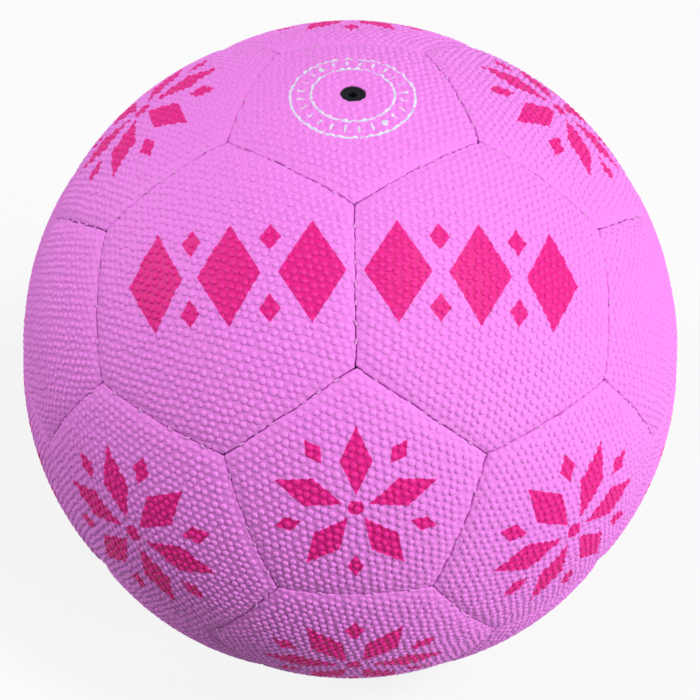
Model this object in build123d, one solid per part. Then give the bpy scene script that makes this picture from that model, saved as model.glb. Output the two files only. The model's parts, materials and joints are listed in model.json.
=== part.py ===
from build123d import *
import math
import os
from itertools import combinations

# A size 5 netball in millimetres: thirty-two stitched rubber panels over an air bladder.
# Origin at the centre of the ball, +Z out through the valve, and one pentagon faces towards -Y.

# Driving dimensions of the ball and its panels
circumference = 700.0
seam_dip = 0.9
cover_thickness = 1.2
lining_thickness = 0.8
flange_depth = 4.6
seam_gap = 0.2
edge_roll = 1.6
corner_ease = 0.7

# Stitching
stitch_pitch = 5.2
stitch_end_margin = 4.0
thread_width = 0.8
stitch_hole_clearance = 0.1
thread_slack = 0.05

# Bladder
bladder_thickness = 0.7
bladder_clearance = 0.2

# Valve
valve_hole_radius = 3.7
valve_clearance = 0.1
valve_recess = 0.7
patch_radius = 17.0
patch_thickness = 0.8
flange_radius = 14.0
tube_radius = 5.2
tube_floor = 2.2
air_port_radius = 1.2
socket_radius = 2.6
plug_clearance = 0.05
plug_face_drop = 0.3
plug_length = 15.0
plug_foot_radius = 3.9
plug_foot_height = 2.4
needle_radius = 1.15
needle_depth = 12.0
needle_mouth_radius = 1.7
needle_mouth_depth = 0.8

# Values that follow from the driving dimensions
ball_radius = circumference / (2 * math.pi)
seam_radius = ball_radius - seam_dip
wall = cover_thickness + lining_thickness
tip_radius = seam_radius - flange_depth
stitch_radius = seam_radius - (wall + flange_depth) / 2
stitch_span = seam_gap + 2 * (wall + thread_slack + thread_width)
bladder_radius = tip_radius - bladder_clearance
corner_round = edge_roll + corner_ease
golden = (1 + math.sqrt(5)) / 2

# Angles of the truncated icosahedron, in degrees, between the axis of a panel and the middle of its edges
half_edge = 1 / math.sqrt(9 * golden + 10)
pentagon_apothem = half_edge / math.tan(math.pi / 5)
hexagon_apothem = half_edge / math.tan(math.pi / 6)
PENTAGON_REACH = math.degrees(math.asin(pentagon_apothem / math.sqrt(1 - half_edge**2)))
HEXAGON_REACH = math.degrees(math.asin(hexagon_apothem / math.sqrt(1 - half_edge**2)))
PENTAGON_TILT = math.degrees(math.atan(2))
CAP_HEXAGON_TILT = PENTAGON_REACH + HEXAGON_REACH
BELT_HEXAGON_TILT = CAP_HEXAGON_TILT + 2 * HEXAGON_REACH
FIFTH_TURN = 72.0
FRONT = -90.0


def edge_turns(sides):
    """Azimuths of the edge middles: a hexagon has one on +X, a pentagon has a corner there."""
    first = 0.0 if sides == 6 else 180.0 / sides
    return [first + index * 360.0 / sides for index in range(sides)]


def reach_of(sides):
    """The angle from the axis of a panel to the middle of its edges."""
    return HEXAGON_REACH if sides == 6 else PENTAGON_REACH


def crown(sides, depth):
    """The domed face of a panel, lowered by a depth: it touches the ball's sphere at the middle."""
    cosine = math.cos(math.radians(reach_of(sides)))
    centre = (ball_radius**2 - seam_radius**2) / (2 * (ball_radius - seam_radius * cosine))
    return Pos(0, 0, centre) * Sphere(ball_radius - centre - depth)


def seam_frames(sides):
    """Frames in the seams around a panel: X across the seam, Y along it and Z outwards."""
    return [Rot(0, 0, turn) * Rot(0, reach_of(sides), 0) for turn in edge_turns(sides)]


def wedge(sides, inset):
    """The flat-sided block over a panel, its sides a distance inside the seam planes."""
    low = tip_radius / 2
    upright = (Align.CENTER, Align.CENTER, Align.MIN)
    drum = Pos(0, 0, low) * Cylinder(ball_radius, ball_radius, align=upright)
    size = 4 * ball_radius
    outside = Pos(-inset, 0, 0) * Box(size, size, size, align=(Align.MIN, Align.CENTER, Align.CENTER))
    return drum - [frame * outside for frame in seam_frames(sides)]


def stitch_places():
    """Distances of the stitch holes from the middle of a seam."""
    length = 2 * half_edge * stitch_radius
    count = int((length - 2 * stitch_end_margin) / stitch_pitch) + 1
    return [(index - (count - 1) / 2) * stitch_pitch for index in range(count)]


def stitch_band(width):
    """The curved band of a seam that the thread lies in."""
    outer = Cylinder(stitch_radius + width / 2, 2 * stitch_span, rotation=(0, 90, 0))
    inner = Cylinder(stitch_radius - width / 2, 2 * stitch_span, rotation=(0, 90, 0))
    return outer - inner


def raise_to_band(profile, width):
    """A flat outline of the stitches, bent to the curve of the seam."""
    low = stitch_radius * math.cos(half_edge) - width
    return extrude(Pos(0, 0, low) * profile, stitch_radius + width - low) & stitch_band(width)


def seam_thread():
    """One thread that crosses both panels at each hole and runs on alternate sides between them."""
    run_side = (stitch_span - thread_width) / 2
    places = stitch_places()
    profile = Sketch()
    for place in places:
        profile += Pos(0, place) * Rectangle(stitch_span, thread_width)
    for index, (here, there) in enumerate(zip(places, places[1:])):
        side = run_side if index % 2 else -run_side
        profile += Pos(side, (here + there) / 2) * Rectangle(thread_width, there - here + thread_width)
    return raise_to_band(profile, thread_width)


def stitch_holes():
    """Cutters for the punched holes of one seam."""
    width = thread_width + 2 * stitch_hole_clearance
    profile = Sketch()
    for place in stitch_places():
        profile += Pos(0, place) * Rectangle(stitch_span, width)
    return raise_to_band(profile, width)


def punched(shell, sides):
    """A panel layer with the stitch holes through its turned-in edges."""
    cutter = stitch_holes()
    return shell - [frame * cutter for frame in seam_frames(sides)]


def panel_cover(sides):
    """The rubber face of a panel with its edges rolled over and turned in."""
    block = wedge(sides, seam_gap / 2)
    corners = [edge for edge in block.edges() if edge.bounding_box().size.Z > flange_depth]
    block = fillet(corners, corner_round) & crown(sides, 0)
    rim = block.faces().sort_by(Axis.Z)[-1].edges()
    block = fillet(rim, edge_roll) - Sphere(tip_radius)
    pocket = wedge(sides, seam_gap / 2 + cover_thickness) & crown(sides, cover_thickness)
    return punched(block - pocket, sides)


def panel_lining(sides):
    """The cloth plies behind a panel, which fill the cover and turn in with it."""
    block = wedge(sides, seam_gap / 2 + cover_thickness) & crown(sides, cover_thickness)
    pocket = wedge(sides, seam_gap / 2 + wall) & crown(sides, wall)
    return punched(block - pocket - Sphere(tip_radius), sides)


def valve_column(radius):
    """A round column on the valve's axis, from the centre of the ball to beyond its outside."""
    return Cylinder(radius, 2 * ball_radius, align=(Align.CENTER, Align.CENTER, Align.MIN))


def valve_patch():
    """The reinforcing disc glued to the lining round the valve hole."""
    disc = (valve_column(patch_radius) & crown(5, wall)) - crown(5, wall + patch_thickness)
    return disc - valve_column(valve_hole_radius)


def stepped(outline):
    """A solid turned about the valve's axis from its outline, given as radius and height."""
    return revolve(make_face(Plane.XZ * Polyline(*outline, close=True)), Axis.Z)


def valve_housing():
    """The moulded body: a flange on the bladder, a neck in the panel and a tube that holds the plug."""
    neck_radius = valve_hole_radius - valve_clearance
    top = ball_radius - valve_recess
    plug_foot = top - plug_face_drop - plug_length
    chamber_radius = plug_foot_radius + plug_clearance
    chamber_top = plug_foot + plug_foot_height + plug_clearance
    chamber_floor = plug_foot - plug_clearance
    foot = chamber_floor - tube_floor
    flange = (valve_column(flange_radius) & crown(5, wall + patch_thickness)) - Sphere(bladder_radius)
    neck = stepped([(0, bladder_radius), (neck_radius, bladder_radius), (neck_radius, top), (0, top)])
    tube = stepped([(0, foot), (tube_radius, foot), (tube_radius, bladder_radius), (0, bladder_radius)])
    room = stepped(
        [
            (0, foot - tube_floor),
            (air_port_radius, foot - tube_floor),
            (air_port_radius, chamber_floor),
            (chamber_radius, chamber_floor),
            (chamber_radius, chamber_top),
            (socket_radius + plug_clearance, chamber_top),
            (socket_radius + plug_clearance, top + valve_recess),
            (0, top + valve_recess),
        ]
    )
    return flange + neck + tube - room


def valve_plug():
    """The rubber plug: a foot held in the tube, a stem and a blind needle hole with a flared mouth."""
    face = ball_radius - valve_recess - plug_face_drop
    foot = face - plug_length
    body = stepped(
        [
            (0, foot),
            (plug_foot_radius, foot),
            (plug_foot_radius, foot + plug_foot_height),
            (socket_radius, foot + plug_foot_height),
            (socket_radius, face),
            (0, face),
        ]
    )
    hole = stepped(
        [
            (0, face - needle_depth),
            (needle_radius, face - needle_depth),
            (needle_radius, face - needle_mouth_depth),
            (needle_mouth_radius, face),
            (0, face),
        ]
    )
    return body - hole


def bladder():
    """The air chamber, a thin round wall with a hole for the valve's tube."""
    wall_of_air = Sphere(bladder_radius) - Sphere(bladder_radius - bladder_thickness)
    return wall_of_air - valve_column(tube_radius + valve_clearance)


def turned(azimuth, tilt, spin=0.0):
    """The placing of a panel: its axis leans from +Z by a tilt towards an azimuth."""
    return Rot(0, 0, azimuth) * Rot(0, tilt, 0) * Rot(0, 0, spin)


def pentagon_places():
    """The valve panel first, then the upper five, the lower five and the one opposite the valve."""
    fifths = [index * FIFTH_TURN for index in range(5)]
    upper = [turned(FRONT + fifth, PENTAGON_TILT, 180) for fifth in fifths]
    lower = [turned(-FRONT + fifth, 180 - PENTAGON_TILT) for fifth in fifths]
    return [turned(FRONT, 0), *upper, *lower, turned(-FRONT, 180, 180)]


def hexagon_places():
    """Four rings of five, from the valve down."""
    fifths = [index * FIFTH_TURN for index in range(5)]
    between = FRONT + FIFTH_TURN / 2
    rings = [
        (between, CAP_HEXAGON_TILT),
        (between, BELT_HEXAGON_TILT),
        (FRONT, 180 - BELT_HEXAGON_TILT),
        (FRONT, 180 - CAP_HEXAGON_TILT),
    ]
    return [turned(start + fifth, tilt) for start, tilt in rings for fifth in fifths]


def hexagon_seam_places():
    """Seams between two hexagons: each lies on the line from one pentagon to the next."""
    axes = [(place * Pos(0, 0, 1)).position for place in pentagon_places()]
    pairs = [(one, other) for one, other in combinations(axes, 2) if one.dot(other) > 0]
    return [Plane((0, 0, 0), x_dir=one.cross(other), z_dir=one + other).location for one, other in pairs]


def pentagon_seam_places():
    """Seams between a pentagon and a hexagon: the five edges of every pentagon."""
    return [place * frame for place in pentagon_places() for frame in seam_frames(5)]


def save(name, *shapes):
    """Writes one named piece, or a group of like pieces, to its own file."""
    solids = [solid for shape in shapes for solid in shape.solids()]
    piece = solids[0] if len(solids) == 1 else Compound(solids)
    export_step(piece, f"parts/{name}.step", write_pcurves=False)


os.makedirs("parts", exist_ok=True)
hole = valve_column(valve_hole_radius)
cover = panel_cover(5)
lining = panel_lining(5)
first, *others = pentagon_places()
save("valve_panel", first * (cover - hole))
for number, place in enumerate(others, start=2):
    save(f"pentagon_panel_{number:02d}", place * cover)
save("valve_panel_lining", first * (lining - hole))
save("pentagon_linings", *[place * lining for place in others])

cover = panel_cover(6)
lining = panel_lining(6)
for number, place in enumerate(hexagon_places(), start=1):
    save(f"hexagon_panel_{number:02d}", place * cover)
save("hexagon_linings", *[place * lining for place in hexagon_places()])

thread = seam_thread()
save("hexagon_seam_stitching", *[place * thread for place in hexagon_seam_places()])
save("pentagon_seam_stitching", *[place * thread for place in pentagon_seam_places()])

save("bladder", bladder())
save("valve_patch", first * valve_patch())
save("valve_housing", valve_housing())
save("valve_plug", valve_plug())
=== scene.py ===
"""A stitched netball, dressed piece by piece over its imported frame."""

import json
import logging
import math
from dataclasses import dataclass
from enum import Enum
from itertools import combinations, product

import bpy
import numpy as np
from mathutils import Matrix, Vector
from mathutils.geometry import delaunay_2d_cdt


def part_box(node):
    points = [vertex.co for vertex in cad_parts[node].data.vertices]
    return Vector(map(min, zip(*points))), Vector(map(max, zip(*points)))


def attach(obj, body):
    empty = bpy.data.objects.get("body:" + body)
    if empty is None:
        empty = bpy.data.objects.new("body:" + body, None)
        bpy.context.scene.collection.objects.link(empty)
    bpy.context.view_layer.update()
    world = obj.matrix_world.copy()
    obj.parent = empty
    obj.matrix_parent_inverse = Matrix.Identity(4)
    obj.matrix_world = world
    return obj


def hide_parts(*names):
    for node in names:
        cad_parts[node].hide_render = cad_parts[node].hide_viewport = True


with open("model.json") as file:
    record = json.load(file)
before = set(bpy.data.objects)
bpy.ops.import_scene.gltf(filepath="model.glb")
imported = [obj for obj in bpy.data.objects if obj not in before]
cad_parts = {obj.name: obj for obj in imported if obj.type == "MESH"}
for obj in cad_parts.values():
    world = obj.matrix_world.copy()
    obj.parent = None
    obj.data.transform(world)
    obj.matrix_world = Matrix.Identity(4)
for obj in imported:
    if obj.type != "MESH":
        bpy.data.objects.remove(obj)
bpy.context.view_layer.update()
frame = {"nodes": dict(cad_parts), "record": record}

LOG = logging.getLogger("netball")
MM = 0.001
BODY = "root"
NEIGHBOUR_COSINE = 0.73
OWN_COSINE = 0.99
Colour = tuple[float, float, float]
Row = tuple[float, ...]
Ring = dict[str, np.ndarray]
BackRing = tuple[np.ndarray, np.ndarray]


class Print(Enum):
    """What is printed on a panel."""

    BARE = "bare"
    ROSETTE = "rosette"
    BAND = "band"
    STAR = "star"
    RINGS = "rings"


class Value:
    """A shader socket whose arithmetic adds Math nodes."""

    def __init__(self, paint: "Paint", out: bpy.types.NodeSocket) -> None:
        """Keeps the socket and the tree it belongs to."""
        self.paint = paint
        self.out = out

    def math(self, operation: str, *others: "Value | float") -> "Value":
        """One Math node with this socket first.

        Args:
            operation: The Math node's operation.
            others: The other operands.

        Returns:
            The result's socket.
        """
        operands = dict(enumerate((self, *others)))
        return self.paint.node("ShaderNodeMath", {"operation": operation}, operands)

    def __add__(self, other: "Value | float") -> "Value":
        """The sum."""
        return self.math("ADD", other)

    __radd__ = __add__

    def __sub__(self, other: "Value | float") -> "Value":
        """The difference."""
        return self.math("SUBTRACT", other)

    def __rsub__(self, other: float) -> "Value":
        """A number less this value."""
        return self.paint.node("ShaderNodeMath", {"operation": "SUBTRACT"}, {0: other, 1: self})

    def __mul__(self, other: "Value | float") -> "Value":
        """The product."""
        return self.math("MULTIPLY", other)

    __rmul__ = __mul__

    def __abs__(self) -> "Value":
        """The size without its sign."""
        return self.math("ABSOLUTE")

    def most(self, other: "Value | float") -> "Value":
        """The larger of two values."""
        return self.math("MAXIMUM", other)

    def step(self, low: float, high: float) -> "Value":
        """A smooth step from 0 at one value to 1 at another.

        Args:
            low: Where the step starts.
            high: Where the step ends.

        Returns:
            The step's socket.
        """
        settings = {"interpolation_type": "SMOOTHSTEP"}
        sockets = {"Value": self, "From Min": low, "From Max": high}
        return self.paint.node("ShaderNodeMapRange", settings, sockets)


class Paint:
    """The node tree of a material or of the world."""

    def __init__(self, owner: bpy.types.Material | bpy.types.World) -> None:
        """Starts an empty tree in its owner.

        Args:
            owner: The material or the world.
        """
        owner.use_nodes = True
        self.owner = owner
        self.tree = owner.node_tree
        self.tree.nodes.clear()

    def node(self, kind: str, settings: dict, sockets: dict, output: int | str | None = 0) -> Value | None:
        """Adds any node.

        Args:
            kind: The node's type.
            settings: Its settings, set before its sockets.
            sockets: Values or links by socket name or number.
            output: The output that is wanted, or none.

        Returns:
            The wanted output.
        """
        made = self.tree.nodes.new(kind)
        for key, setting in settings.items():
            setattr(made, key, setting)
        for key, value in sockets.items():
            if isinstance(value, Value):
                self.tree.links.new(value.out, made.inputs[key])
            else:
                made.inputs[key].default_value = value
        return None if output is None else Value(self, made.outputs[output])

    def attribute(self, name: str, output: str = "Fac") -> Value:
        """A value that the mesh carries."""
        return self.node("ShaderNodeAttribute", {"attribute_name": name}, {}, output)

    def place(self) -> Value:
        """The point on the object, in metres."""
        return self.node("ShaderNodeTexCoord", {}, {}, "Object")

    def noise(self, vector: Value, scale: float, detail: float = 2.0, roughness: float = 0.5) -> Value:
        """Soft noise from 0 to 1.

        Args:
            vector: The point that it is taken at.
            scale: Waves per unit of the point.
            detail: Octaves.
            roughness: The weight of the finer octaves.

        Returns:
            The noise.
        """
        sockets = {"Vector": vector, "Scale": scale, "Detail": detail, "Roughness": roughness}
        return self.node("ShaderNodeTexNoise", {}, sockets, "Fac")

    def mix(self, factor: Value | float, first: Value | Colour, second: Value | Colour) -> Value:
        """A colour between two colours.

        Args:
            factor: The share of the second colour.
            first: The colour at 0.
            second: The colour at 1.

        Returns:
            The mixed colour.
        """
        rgba = [tone if isinstance(tone, Value) else (*tone, 1.0) for tone in (first, second)]
        settings = {"data_type": "RGBA", "clamp_factor": True}
        return self.node("ShaderNodeMix", settings, {0: factor, 6: rgba[0], 7: rgba[1]}, 2)

    def bump(self, height: Value, distance: float, strength: float = 1.0) -> Value:
        """A normal roughened by a height.

        Args:
            height: The height, from 0 to 1.
            distance: What a height of 1 stands for, in metres.
            strength: The share of the bump that is kept.

        Returns:
            The normal.
        """
        sockets = {"Height": height, "Distance": distance, "Strength": strength}
        return self.node("ShaderNodeBump", {}, sockets)

    def close(self, surface: Value) -> bpy.types.Material:
        """Links the surface and hands over the material."""
        self.node("ShaderNodeOutputMaterial", {}, {"Surface": surface}, None)
        return self.owner

    def principled(self, sockets: dict) -> bpy.types.Material:
        """A finished material with one principled surface."""
        return self.close(self.node("ShaderNodeBsdfPrincipled", {}, sockets, "BSDF"))


@dataclass(frozen=True)
class PanelRubber:
    """Orchid-pink moulded rubber, the inks printed on it, and painted light on its pebbles and seams.

    Print sizes are in millimetres. Petals and their tips have a middle, half a length and half a width,
    and the band's small diamonds a place across the band, half a length and half a width. Noise scales are
    in waves per metre.
    """

    ground: Colour = (0.872, 0.247, 0.832)
    # crest: painted highlight on the pebble tops, so the ground between them reads as painted shade
    crest: Colour = (0.9, 0.278, 0.866)
    faded: Colour = (0.91, 0.305, 0.882)
    # Painted shade that deepens down into the seams.
    seam_shade: Colour = (0.30, 0.055, 0.25)
    ink_ground: Colour = (0.77, 0.014, 0.262)
    # Painted highlight on the inked pebble tops.
    ink_highlight: Colour = (0.86, 0.026, 0.325)
    chalk: Colour = (0.74, 0.80, 0.88)
    roughness: float = 0.54
    gloss: float = 0.17
    ink_wobble: float = 0.55
    chalk_wobble: float = 0.3
    ink_edge: float = 0.14
    mottle_scale: float = 55.0
    cloud_scale: float = 14.0
    grain_scale: float = 1500.0
    grain_depth: float = 0.00006
    # Seam depths over which the painted seam shade comes in, and its strongest share.
    seam_shade_depths: tuple[float, float] = (0.38, 1.25)
    seam_shade_share: float = 0.88
    petal: tuple[float, float, float] = (16.5, 12.0, 5.4)
    petal_tip: tuple[float, float, float] = (24.0, 4.8, 3.0)
    petal_eye: float = 2.7
    star_scale: float = 0.82
    band_pitch: float = 23.0
    band_tall: tuple[float, float] = (9.2, 14.2)
    band_small: tuple[float, float, float] = (9.8, 3.0, 3.9)
    ring_radii: tuple[float, float] = (18.0, 12.0)
    ring_width: float = 0.34
    dial_radius: float = 15.0
    dial_ticks: int = 24
    tick: tuple[float, float] = (0.3, 1.1)
    dot: float = 0.85

    def diamond(self, along: Value, across: Value, centre: float, length: float, width: float) -> Value:
        """How far a point lies inside a diamond.

        Args:
            along: Place along the diamond.
            across: Place across it.
            centre: Where its middle is along it.
            length: Half its length.
            width: Half its width.

        Returns:
            The distance inside, in millimetres.
        """
        slope = math.hypot(1 / length, 1 / width)
        return (1 - abs(along - centre) * (1 / length) - abs(across) * (1 / width)) * (1 / slope)

    def petals(self, x: Value, y: Value, count: int, turn: float) -> tuple[Value, Value]:
        """Folds the plane into like sectors.

        Args:
            x: First coordinate.
            y: Second coordinate.
            count: Sectors in a full turn.
            turn: Where the middle of the first sector points, in radians.

        Returns:
            The places along and across the middle of a sector.
        """
        half = math.pi / count
        angle = y.math("ARCTAN2", x) + (2 * math.tau - turn + half)
        fold = abs(angle.math("MODULO", 2 * half) - half)
        radius = (x * x + y * y).math("SQRT")
        return radius * fold.math("COSINE"), radius * fold.math("SINE")

    def rosette(self, x: Value, y: Value, count: int, scale: float) -> Value:
        """A star of slender diamonds round a small centre, with short ones between their tips.

        Args:
            x: First coordinate of the panel.
            y: Second coordinate of the panel.
            count: Diamonds in the star.
            scale: Its size, 1 on a hexagon.

        Returns:
            The distance inside the print.
        """
        along, across = self.petals(x, y, count, math.pi / count)
        star = self.diamond(along, across, *(scale * size for size in self.petal))
        along, across = self.petals(x, y, count, 0.0)
        tips = self.diamond(along, across, *(scale * size for size in self.petal_tip))
        middle = self.petal_eye * scale - (x * x + y * y).math("SQRT")
        return star.most(tips).most(middle)

    def band(self, x: Value, y: Value) -> Value:
        """Three tall diamonds on each side of the middle, with pairs of small ones between them.

        Args:
            x: Place along the band.
            y: Place across it.

        Returns:
            The distance inside the print.
        """
        pitch = self.band_pitch
        near = x.math("PINGPONG", pitch / 2)
        tall = self.diamond(near, y, pitch / 2, *self.band_tall)
        beside, length, width = self.band_small
        small = self.diamond(near, abs(y) - beside, 0.0, length, width)
        between = 1.3 * pitch - abs(abs(x) - 1.5 * pitch)
        return tall.math("MINIMUM", 3 * pitch - abs(x)).most(small.math("MINIMUM", between))

    def rings(self, x: Value, y: Value) -> Value:
        """Two thin rings round the valve with a dial of ticks and two dots between them.

        Args:
            x: First coordinate of the panel.
            y: Second coordinate of the panel.

        Returns:
            The distance inside the print.
        """
        radius = (x * x + y * y).math("SQRT")
        outer, inner = (self.ring_width - abs(radius - size) for size in self.ring_radii)
        along, across = self.petals(x, y, self.dial_ticks, 0.0)
        width, length = self.tick
        tick = (width - across).math("MINIMUM", length - abs(along - self.dial_radius))
        dot_x = abs(x) - self.dial_radius
        dot = self.dot - (dot_x * dot_x + y * y).math("SQRT")
        return outer.most(inner).most(tick).most(dot)

    def inside(self, kind: Print, paint: Paint, plane: Value) -> Value | None:
        """The print of a panel as a distance inside its edge.

        Args:
            kind: The print.
            paint: The tree it is built in.
            plane: The panel's print plane.

        Returns:
            The distance inside, or none on a bare panel.
        """
        if kind is Print.BARE:
            return None
        x = paint.node("ShaderNodeSeparateXYZ", {}, {0: plane}, "X")
        y = paint.node("ShaderNodeSeparateXYZ", {}, {0: plane}, "Y")
        shapes = {
            Print.ROSETTE: lambda: self.rosette(x, y, 6, 1.0),
            Print.STAR: lambda: self.rosette(x, y, 5, self.star_scale),
            Print.BAND: lambda: self.band(x, y),
            Print.RINGS: lambda: self.rings(x, y),
        }
        return shapes[kind]()

    def material(self, kind: Print) -> bpy.types.Material:
        """The rubber of a panel with its print.

        Args:
            kind: The print.

        Returns:
            The material.
        """
        paint = Paint(bpy.data.materials.new(f"panel_rubber_{kind.value}"))
        plane = paint.attribute("print_plane", "Vector")
        pebble = paint.attribute("pebble")
        sunk = paint.attribute("sunk")
        place = paint.place()
        mottle = paint.noise(place, self.mottle_scale, 4.0, 0.6)
        cloud = paint.noise(place, self.cloud_scale, 2.0)
        fine = paint.noise(place, self.grain_scale, 3.0, 0.65)
        # Painted highlight: the higher a point sits on a pebble, the more it takes the lighter crest
        # colour, with random mottling.
        tone = pebble * 0.75 + mottle * 0.5 - 0.15
        colour = paint.mix(tone, self.ground, self.crest)
        colour = paint.mix(cloud.step(0.5, 0.8) * 0.35, colour, self.faded)
        rough = self.roughness + (mottle - 0.5) * 0.16 + (fine - 0.5) * 0.10
        inside = self.inside(kind, paint, plane)
        if inside is not None:
            wobble = self.chalk_wobble if kind is Print.RINGS else self.ink_wobble
            waver = (paint.noise(plane, 0.42, 2.0) - 0.5) * wobble
            mask = (inside + waver).step(-self.ink_edge, self.ink_edge)
            if kind is Print.RINGS:
                worn = (paint.noise(plane, 0.6, 3.0) + pebble * 0.22).step(0.30, 0.46)
                mask = mask * worn
                ink = self.chalk
            else:
                bare = paint.noise(plane, 0.9, 3.0).step(0.66, 0.78)
                mask = mask * (1 - bare * 0.35)
                # Painted highlight: inked pebble tops take the lighter ink colour, with random mottling.
                ink = paint.mix(pebble * 0.85 + mottle * 0.3 - 0.1, self.ink_ground, self.ink_highlight)
            colour = paint.mix(mask, colour, ink)
            rough = rough - mask * 0.07
        # Painted shade: the deeper a point lies in a seam, the valve's hole or the back, the darker it is.
        colour = paint.mix(sunk.step(*self.seam_shade_depths) * self.seam_shade_share, colour, self.seam_shade)
        grain = paint.bump(fine * 0.6 + mottle * 0.4, self.grain_depth, 0.6)
        return paint.principled(
            {
                "Base Color": colour,
                "Roughness": rough,
                "Normal": grain,
                "Specular IOR Level": self.gloss,
                "IOR": 1.5,
            }
        )


@dataclass(frozen=True)
class WaxedThread:
    """Pale waxed thread of two twisted plies."""

    light: Colour = (0.90, 0.44, 0.88)
    # Painted shade in the grooves between the plies.
    ply_shade: Colour = (0.64, 0.22, 0.60)
    ply_length: float = 1.1
    gloss: float = 0.25

    def material(self) -> bpy.types.Material:
        """The thread with its twist, painted shade between its plies and a little soil.

        Returns:
            The material.
        """
        paint = Paint(bpy.data.materials.new("waxed_seam_thread"))
        twist = paint.attribute("twist")
        lay = (twist * (math.tau / self.ply_length)).math("SINE") * 0.5 + 0.5
        soil = paint.noise(paint.place(), 260.0, 3.0)
        # Painted shade: the colour darkens along the twist where the plies meet, varied by the soil noise.
        colour = paint.mix(lay * 0.7 + soil * 0.4 - 0.1, self.ply_shade, self.light)
        return paint.principled(
            {
                "Base Color": colour,
                "Roughness": 0.5 + soil * 0.2,
                "Normal": paint.bump(lay, 0.00012, 0.8),
                "Specular IOR Level": self.gloss,
            }
        )


@dataclass(frozen=True)
class ValveRubber:
    """Matt black moulded rubber with a bloom of dust."""

    black: Colour = (0.006, 0.007, 0.010)
    bloom: Colour = (0.016, 0.017, 0.022)
    roughness: float = 0.62
    gloss: float = 0.09

    def material(self) -> bpy.types.Material:
        """The rubber with its fine moulding marks.

        Returns:
            The material.
        """
        paint = Paint(bpy.data.materials.new("valve_rubber_black"))
        place = paint.place()
        dust = paint.noise(place, 420.0, 4.0, 0.7)
        fine = paint.noise(place, 2600.0, 2.0)
        return paint.principled(
            {
                "Base Color": paint.mix(dust.step(0.42, 0.75), self.black, self.bloom),
                "Specular IOR Level": self.gloss,
                "Roughness": self.roughness + (dust - 0.5) * 0.3,
                "Normal": paint.bump(dust * 0.6 + fine * 0.4, 0.00008, 0.6),
            }
        )


@dataclass(frozen=True)
class PlainCloth:
    """Plain-woven cotton and polyester cloth, stiff with latex."""

    name: str
    yarn: Colour
    # Painted shade in the hollows between the yarns.
    weave_shade: Colour
    yarns_per_metre: float = 900.0

    def material(self) -> bpy.types.Material:
        """The weave, with over and under yarns, painted shade in the hollows between them, and uneven
        latex.

        Returns:
            The material.
        """
        paint = Paint(bpy.data.materials.new(self.name))
        place = paint.place()
        pieces = {axis: paint.node("ShaderNodeSeparateXYZ", {}, {0: place}, axis) for axis in "XYZ"}
        turn = math.pi * self.yarns_per_metre
        warp = (pieces["X"] * turn + pieces["Z"] * (0.5 * turn)).math("SINE")
        weft = (pieces["Y"] * turn - pieces["Z"] * (0.5 * turn)).math("SINE")
        weave = (warp * weft) * 0.5 + 0.5
        latex = paint.noise(place, 130.0, 3.0)
        # Painted shade: the colour darkens in the hollows of the weave, varied by uneven latex.
        colour = paint.mix(weave * 0.7 + latex * 0.4 - 0.1, self.weave_shade, self.yarn)
        return paint.principled(
            {
                "Base Color": colour,
                "Roughness": 0.78 + latex * 0.15,
                "Normal": paint.bump(weave, 0.0002, 0.7),
            }
        )


@dataclass(frozen=True)
class BladderRubber:
    """Black butyl with a talc haze."""

    black: Colour = (0.022, 0.022, 0.024)
    talc: Colour = (0.16, 0.16, 0.165)

    def material(self) -> bpy.types.Material:
        """The butyl with smeared talc.

        Returns:
            The material.
        """
        paint = Paint(bpy.data.materials.new("bladder_butyl"))
        place = paint.place()
        smear = paint.noise(place, 38.0, 5.0, 0.65)
        colour = paint.mix(smear.step(0.48, 0.8) * 0.7, self.black, self.talc)
        return paint.principled(
            {
                "Base Color": colour,
                "Roughness": 0.42 + smear * 0.3,
                "Normal": paint.bump(smear, 0.0002, 0.5),
            }
        )


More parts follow.
